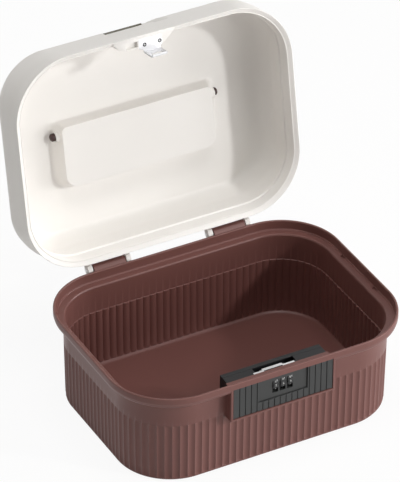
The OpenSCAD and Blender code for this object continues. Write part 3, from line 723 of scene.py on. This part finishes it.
class LOCKBOX_OT_handle(bpy.types.Operator):
    """The handle: a rounded section carried along a path of two straight arms and two quarter
    circles, thinner at the arms, with round eyes at the pivot, and two headed pins."""
    bl_idname = "lockbox.handle"
    bl_label = "Handle"

    def execute(self, context):
        reach, arm, grip, thick, corner, eye = 49.0, 5.0, 7.0, 9.0, 19.0, 4.3
        half, square = 79.3 - arm / 2, 0.45  # the section is a circle raised to the power square
        end = PIVOT_Y + reach - grip / 2
        t = np.radians(np.linspace(0, 90, 16))
        bend = np.stack([half + corner * (np.cos(t) - 1), end + corner * (np.sin(t) - 1)], 1)
        right = np.concatenate([
            np.stack([np.full(20, half), np.linspace(PIVOT_Y - eye + 0.1, end - corner, 20)], 1),
            bend[1:]])
        middle = np.stack([np.linspace(half - corner, 0, 14)[1:], np.full(13, end)], 1)
        path = np.concatenate([right, middle])
        path = np.concatenate([path, (path * (-1, 1))[::-1][1:]])
        along = np.gradient(path, axis=0)
        along /= np.linalg.norm(along, axis=1)[:, None]
        side = np.stack([along[:, 1], -along[:, 0], np.zeros(len(path))], 1)
        path = np.column_stack([path, np.full(len(path), PIVOT_Z)])
        turn = np.radians(np.arange(360, 0, -12))
        circle = np.stack([np.cos(turn), np.sin(turn)], 1)
        oval = np.sign(circle) * np.abs(circle) ** square
        width = arm + (grip - arm) * step(path[:, 1], end - corner, end)
        part = np.clip((path[:, 1] - (PIVOT_Y - eye)) / eye, 0, 1)
        round_end = np.sqrt(np.clip(1 - (1 - part) ** 2, 0.01, 1))
        high = thick * np.where(path[:, 1] < PIVOT_Y, round_end, 1)
        section = oval[None] * np.stack([width / 2, high / 2], 1)[:, None, :]
        handle = solid("carry_handle", opened(carried(path, side, section)), 50)
        place(handle, "handle", "handle", "handle", "handle")
        path = soften([(0.3, 74.8, 0), (2.0, 74.8, 0.4), (2.0, 83.7, 0), (3.8, 83.7, 0.2),
                       (3.9, 88.4, 1.2), (2.6, 89.6, 1.2), (0.3, 89.8, 0)])
        shape = turned(path, (0, PIVOT_Y, PIVOT_Z), "x", 40)
        for name, one in (("left", mirrored(shape)), ("right", shape)):
            pin = solid("pivot_" + name, opened(one))
            place(pin, "lid", "handle", "pivot", "handle_pin_" + name)
        return {"FINISHED"}


class LOCKBOX_OT_press_plate(bpy.types.Operator):
    """The press plate: a flat shape in x and y whose front edge dips by the groove's depth at
    each groove, carried up over its height, less the place of the dial panel; and its posts."""
    bl_idname = "lockbox.press_plate"
    bl_label = "Press plate"

    def execute(self, context):
        s = context.scene.lock_box_sizes
        pitch, deep = s.groove_pitch / MM, s.groove_depth / MM
        face, back, half = FRONT + 0.6, FRONT + 3.0, 52.6
        steps = np.array([(-0.62, 0), (-0.50, 0.12), (-0.42, 0.6), (-0.25, 1), (0.25, 1),
                          (0.42, 0.6), (0.50, 0.12), (0.62, 0)])
        count = int((half - 1.5) // pitch)
        groove = np.concatenate([steps + ((k + 0.5) * pitch, 0) for k in range(-count, count)])
        edge = np.stack([groove[:, 0], face + deep * groove[:, 1]], 1)
        shape = np.concatenate([[(-half, face)], edge, [(half, face), (half, back), (-half, back)]])
        plate = solid("grooved_plate", bar(shape, 62.0, 95.2, "z"), 30)
        cut(plate, solid("notch", block((-26, face - 2, 71.4), (26, back + 2, 97))), sharp=30)
        bevel(plate, 0.22, 2, 55)
        place(plate, "press", "plate", "plate", "press_plate")
        root = [(0.2, back - 0.4, 0), (2.2, back - 0.4, 0)]
        upper = root + [(2.2, -94.6, 0), (1.2, -94.6, 0), (1.2, -91.9, 0.3), (0.2, -91.9, 0)]
        lower = root + [(2.2, -101.0, 0.3), (0.2, -101.0, 0)]
        posts = [turned(soften(path, 3), (x, 0, z), "y", 32)
                 for x in (-POST_X, POST_X) for z, path in ((POST_Z, upper), (68.0, lower))]
        place(solid("plate_posts", together(*posts)), "press", "plate", "plate")
        return {"FINISHED"}


class LOCKBOX_OT_dial_panel(bpy.types.Operator):
    """The dial panel: a block less three drums round the dials' axis, the drum of the cams and
    the lower part of each window"""
    bl_idname = "lockbox.dial_panel"
    bl_label = "Dial panel"

    def execute(self, context):
        bore, half = DIAL_RADIUS + 0.35, 3.1
        panel = solid("smooth_panel", block((-25.5, FRONT + 2, 71.8), (25.5, FRONT + 5.6, 95.2)))
        drums = [solid("drum", turned([(5.0, -11.4), (5.0, 12.9)], (0, DIAL_Y, DIAL_Z), "x", 96))]
        for x in (-DIAL_PITCH, 0, DIAL_PITCH):
            drum = turned([(bore, -half), (bore, half)], (x, DIAL_Y, DIAL_Z), "x", 96)
            window = block((x - half, FRONT, 76.8), (x + half, FRONT + 7, DIAL_Z))
            drums += [solid("drum", drum), solid("window", window)]
        cut(panel, *drums)
        bevel(panel, 0.25, 2, 50)
        place(panel, "tub", "plate", "plate", "dial_panel")
        return {"FINISHED"}


class LOCKBOX_OT_dials(bpy.types.Operator):
    """Three dials: a ring path turned about the shaft, whose radius dips in a bell curve between
    two numerals; ten numerals on each, wrapped so that their height runs along the rim."""
    bl_idname = "lockbox.dials"
    bl_label = "Dials"

    def execute(self, context):
        height = context.scene.lock_box_sizes.numeral_height / MM
        side, edge, bore = 2.95, 2.55, 1.6
        ring = soften([(bore, -side, 0), (6.6, -side, 0), (DIAL_RADIUS, -edge, 0.3),
                       (DIAL_RADIUS, edge, 0.3), (6.6, side, 0), (bore, side, 0)], 3)
        for number in (1, 2, 3):
            x, dial = (number - 2) * DIAL_PITCH, f"dial_{number}"
            shape = turned(ring, (x, DIAL_Y, DIAL_Z), "x", 240, self.dips, True)
            place(solid(f"wheel_{number}", shape, 30), dial, "dials", "dial", dial)
            marks = [self.numeral((i + 3 * number) % 10, DIAL_STEP * i, x, height)
                     for i in range(10)]
            marks = solid(f"numerals_{number}", together(*marks), 20)
            place(marks, dial, "dials", "numeral")
        return {"FINISHED"}

    @staticmethod
    def dips(angle, height):
        """What comes off the radius between two numerals, but not on the ring's flat sides"""
        deep, wide = 0.42, 2.6
        off = np.mod(np.degrees(angle) + DIAL_STEP / 2, DIAL_STEP) - DIAL_STEP / 2
        near = np.abs(np.abs(off) - DIAL_STEP / 2)
        return np.where(np.abs(height) < 2.9, -deep * np.exp(-(near / wide) ** 2), 0)

    @staticmethod
    def numeral(digit, angle, x, height):
        """One numeral: the font's flat shape, whose x lies along the shaft and whose y over the
        radius is the angle round it"""
        curve = bpy.data.curves.new("digit", "FONT")
        curve.body = str(digit)
        curve.size = height / 0.7
        curve.align_x = "CENTER"
        curve.resolution_u = 3
        curve.extrude = 0.03
        curve.offset = 0.05
        obj = put("digit", curve)
        mesh = finished(obj)
        points = np.empty(len(mesh.vertices) * 3)
        mesh.vertices.foreach_get("co", points)
        points = points.reshape(-1, 3)
        faces = [list(p.vertices) for p in mesh.polygons]
        bpy.data.objects.remove(obj)
        bpy.data.meshes.remove(mesh)
        a = (points[:, 1] - height / 2) / DIAL_RADIUS - math.radians(angle)
        r = DIAL_RADIUS + 0.02 + points[:, 2]
        wrapped = np.stack([x + points[:, 0], DIAL_Y - r * np.cos(a), DIAL_Z + r * np.sin(a)], 1)
        return wrapped, faces


class LOCKBOX_OT_striker(bpy.types.Operator):
    """The striker: a flat plate on the boss, bent into a tongue with a hole and a folded tip;
    each is a flat shape carried through the sheet. Two screws are turned, with crossed slots."""
    bl_idname = "lockbox.striker"
    bl_label = "Striker"

    def execute(self, context):
        low, screw_y = 95.0, -98.0
        plate = bar([(-13.2, -104.2), (9.8, -104.2), (10.6, -103.4), (10.6, -94.8), (8.8, -92.6),
                     (8.8, -89.5), (-9.0, -89.5), (-9.0, -92.6), (-14.0, -94.8), (-14.0, -103.4)],
                    95.45, 97.0, "z")
        tongue = bar([(96.9, -9.0), (82.4, -9.0), (80.9, -7.6), (80.9, 7.4), (82.4, 8.8),
                      (96.9, 8.8)], -91.0, -89.5, "y")
        tip = bar([(-92.1, 80.8), (-89.5, 80.8), (-89.5, 82.4), (-90.9, 82.4), (-92.1, 81.9)],
                  -7.8, 7.6)
        plate, tongue, tip = [solid(name, opened(shape)) for name, shape in (
            ("striker_plate", plate), ("tongue", tongue), ("tip", tip))]
        cut(tongue, tip, operation="UNION")
        cut(tongue, solid("hole", opened(block((-5.5, -93.0, 83.7), (5.5, -88.0, 89.2)))))
        place(bevel(plate, 0.25, 2, 50), "lid", "steel", "steel", "striker")
        place(bevel(tongue, 0.25, 2, 50), "lid", "steel", "tongue")
        heads, slots = [], []
        head = soften([(0.2, 95.41, 0), (1.2, 95.41, 0), (2.0, 95.43, 0), (2.1, 95.9, 0),
                       (1.1, 96.8, 0), (1.1, 104.0, 0), (0.2, 104.2, 0)], 3)
        for x in (-8.0, 8.0):
            heads.append(turned(head, (x, screw_y, 0), "z", 32))
            for long, wide in ((1.1, 0.2), (0.2, 1.1)):
                slots.append(block((x - long, screw_y - wide, low),
                                   (x + long, screw_y + wide, low + 0.75)))
        screws = solid("screw_heads", opened(together(*heads)))
        cut(screws, *[solid("slot", opened(s)) for s in slots])
        place(screws, "lid", "steel", "screw", "striker_screws")
        return {"FINISHED"}


class LOCKBOX_OT_latch(bpy.types.Operator):
    """The latch frame: a sheet behind the panel with two wings and a raised middle folded over
    at its top, two cheeks, a cross bar and the nose; each a flat shape carried straight"""
    bl_idname = "lockbox.latch"
    bl_label = "Latch frame"

    def execute(self, context):
        low, high, near, far = 84.4, 89.6, -94.6, -87.5
        outline = [(84.4, 33.05), (91.5, 33.05), (91.5, 21.0), (93.4, 21.0), (93.4, 7.4),
                   (95.3, 6.8), (95.3, -13.4), (93.4, -14.0), (93.4, -21.0), (91.5, -21.0),
                   (91.5, -33.05), (84.4, -33.05)]
        web = solid("latch_sheet", bar(outline, near, near + 1.4, "y"))
        flange = solid("flange", together(
            block((-13.9, -96.3, 95.06), (7.3, -93.2, 95.37)),
            block((-24.0, -97.6, 95.04), (-13.2, -95.3, 95.24)),
            block((6.6, -97.6, 95.04), (19.2, -95.3, 95.24))))
        cheeks = [solid("cheek", block((x, near + 0.5, low), (x + 2, far, high)))
                  for x in (-13.0, 11.0)]
        cross = solid("cross", block((-12.5, far - 1.4, low), (12.5, far, high)))
        nose = solid("nose", bar([(-88.4, 84.2), (-88.4, 88.7), (-89.6, 88.7), (-90.9, 87.0),
                                  (-90.9, 84.2)], -5.0, 5.0))
        cut(web, flange, *cheeks, cross, nose, operation="UNION")
        hole = [(1.25, -97.0), (1.25, -91.0)]
        cut(web, *[solid("hole", turned(hole, (x, 0, POST_Z), "y", 24)) for x in (-POST_X, POST_X)])
        place(bevel(web, 0.1, 2, 50), "press", "steel", "steel", "latch_frame")
        return {"FINISHED"}


class LOCKBOX_OT_case(bpy.types.Operator):
    """Finishes of the lock's solids that show as they are"""
    bl_idname = "lockbox.case"
    bl_label = "Case and cover"

    def execute(self, context):
        for kind, names in (
                ("steel", ("cam_1", "cam_2", "cam_3", "dial_shaft", "detent_spring")),
                ("screw", ("latch_clips", "cover_screws")),
                ("case", ("lock_case", "inner_cover")), ("lever", ("reset_lever",))):
            for name in names:
                dress(frame["nodes"][name], kind)
        return {"FINISHED"}


class LOCKBOX_OT_stage(bpy.types.Operator):
    """Floor, light and the camera at the photograph's angle"""
    bl_idname = "lockbox.stage"
    bl_label = "Stage"

    def execute(self, context):
        self.floor()
        self.lamps()
        self.camera()
        return {"FINISHED"}

    def floor(self):
        """A pale floor that glows where it is seen directly, so that it joins the white world
        and still holds a part of the shadow"""
        c = bpy.context.scene.lock_box_colours
        half, z, glowing = 8, -0.0002, 0.92
        mesh = bpy.data.meshes.new("floor")
        mesh.from_pydata([(-half, -half, z), (half, -half, z), (half, half, z), (-half, half, z)],
                         [], [(0, 1, 2, 3)])
        floor = put("floor", mesh)
        mat = bpy.data.materials.new("pale_floor")
        mat.use_nodes = True
        tree = mat.node_tree
        tree.nodes.clear()
        diffuse = node(tree, "BsdfDiffuse", Color=(*c.floor, 1))
        glow = node(tree, "Emission", Color=(1, 1, 1, 1))
        part = node(tree, "Math", "MULTIPLY", _0=self.seen(tree), _1=glowing)
        mix = node(tree, "MixShader", Fac=part.outputs[0], _1=diffuse.outputs[0],
                   _2=glow.outputs[0])
        node(tree, "OutputMaterial", Surface=mix.outputs[0])
        mesh.materials.append(mat)

    @staticmethod
    def seen(tree):
        """1 for a ray that sees the stage directly, in gloss or through glass, 0 for the others"""
        path = node(tree, "LightPath")
        total = path.outputs["Is Camera Ray"]
        for name in ("Is Glossy Ray", "Is Transmission Ray"):
            add = node(tree, "Math", "ADD", _0=total, _1=path.outputs[name])
            add.use_clamp = True
            total = add.outputs[0]
        return total

    def lamps(self):
        """A small hard key from the right front, broad soft lamps and a world that is paler
        towards the horizon"""
        aim = Vector((0, 0, 0.12))
        for name, size, energy, toward, far in LAMPS:
            lamp = bpy.data.lights.new(name, "AREA")
            lamp.shape = "DISK"
            lamp.size = size
            lamp.energy = energy
            obj = put(name, lamp)
            way = Vector(toward).normalized()
            obj.location = aim + way * far
            obj.rotation_euler = way.to_track_quat("Z", "Y").to_euler()
        world = bpy.context.scene.world or bpy.data.worlds.new("studio")
        bpy.context.scene.world = world
        world.use_nodes = True
        tree = world.node_tree
        tree.nodes.clear()
        way = node(tree, "SeparateXYZ", _0=node(tree, "TexCoord").outputs["Generated"])
        level = node(tree, "MapRange", Value=way.outputs["Z"], To_Min=SKY[0], To_Max=SKY[1])
        soft = node(tree, "Background", Color=SKY_COLOUR, Strength=level.outputs["Result"])
        white = node(tree, "Background", Color=(1, 1, 1, 1))
        mix = node(tree, "MixShader", Fac=self.seen(tree), _1=soft.outputs[0],
                   _2=white.outputs[0])
        node(tree, "OutputWorld", Surface=mix.outputs[0])

    def camera(self):
        """The camera looks along the fitted angles: azimuth, elevation and roll turn its axes.
        It stands at a distance from its aim, moved off across and up."""
        azimuth, elevation, roll = np.radians((-28.617, 34.585, 0.389)).tolist()
        aim, far, off, lift = Vector((0, 0, 0.06)), 4.1266, -0.02523, 0.09636
        back = Vector((math.sin(azimuth) * math.cos(elevation),
                       -math.cos(azimuth) * math.cos(elevation), math.sin(elevation)))
        right = Vector((math.cos(azimuth), math.sin(azimuth), 0))
        up = back.cross(right)
        across = right * math.cos(roll) + up * math.sin(roll)
        upright = -right * math.sin(roll) + up * math.cos(roll)
        at = aim + back * far + across * off + upright * lift
        data = bpy.data.cameras.new("camera")
        data.sensor_fit = "VERTICAL"
        data.sensor_height = 24
        data.lens = 217.29
        data.shift_x = 0.00172
        data.shift_y = 0.00122
        data.clip_end = 50
        camera = put("camera", data)
        turn = Matrix((across, upright, back)).transposed().to_4x4()
        camera.matrix_world = Matrix.Translation(at) @ turn
        scene = bpy.context.scene
        scene.camera = camera
        scene.view_settings.view_transform = "Standard"


MAKERS = (LOCKBOX_OT_stage, LOCKBOX_OT_tub, LOCKBOX_OT_hinge, LOCKBOX_OT_lid, LOCKBOX_OT_handle,
          LOCKBOX_OT_press_plate, LOCKBOX_OT_dial_panel, LOCKBOX_OT_dials, LOCKBOX_OT_striker,
          LOCKBOX_OT_latch, LOCKBOX_OT_case)


class LOCKBOX_PT_pieces(bpy.types.Panel):
    """Lists the pieces, their sizes and their colours"""
    bl_idname = "LOCKBOX_PT_pieces"
    bl_label = "Lock box"
    bl_space_type = "VIEW_3D"
    bl_region_type = "UI"
    bl_category = "Lock box"

    def draw(self, context):
        for maker in MAKERS:
            self.layout.operator(maker.bl_idname)
        for group in (context.scene.lock_box_sizes, context.scene.lock_box_colours):
            for name in group.__annotations__:
                self.layout.prop(group, name)


CLASSES = (LockBoxSizes, LockBoxColours, *MAKERS, LOCKBOX_PT_pieces)


def register():
    for cls in CLASSES:
        bpy.utils.register_class(cls)
    bpy.types.Scene.lock_box_sizes = PointerProperty(type=LockBoxSizes)
    bpy.types.Scene.lock_box_colours = PointerProperty(type=LockBoxColours)


def unregister():
    del bpy.types.Scene.lock_box_colours
    del bpy.types.Scene.lock_box_sizes
    for cls in reversed(CLASSES):
        bpy.utils.unregister_class(cls)


def main():
    register()
    for maker in MAKERS:
        family, name = maker.bl_idname.split(".")
        getattr(getattr(bpy.ops, family), name)()


if __name__ == "__main__":
    main()
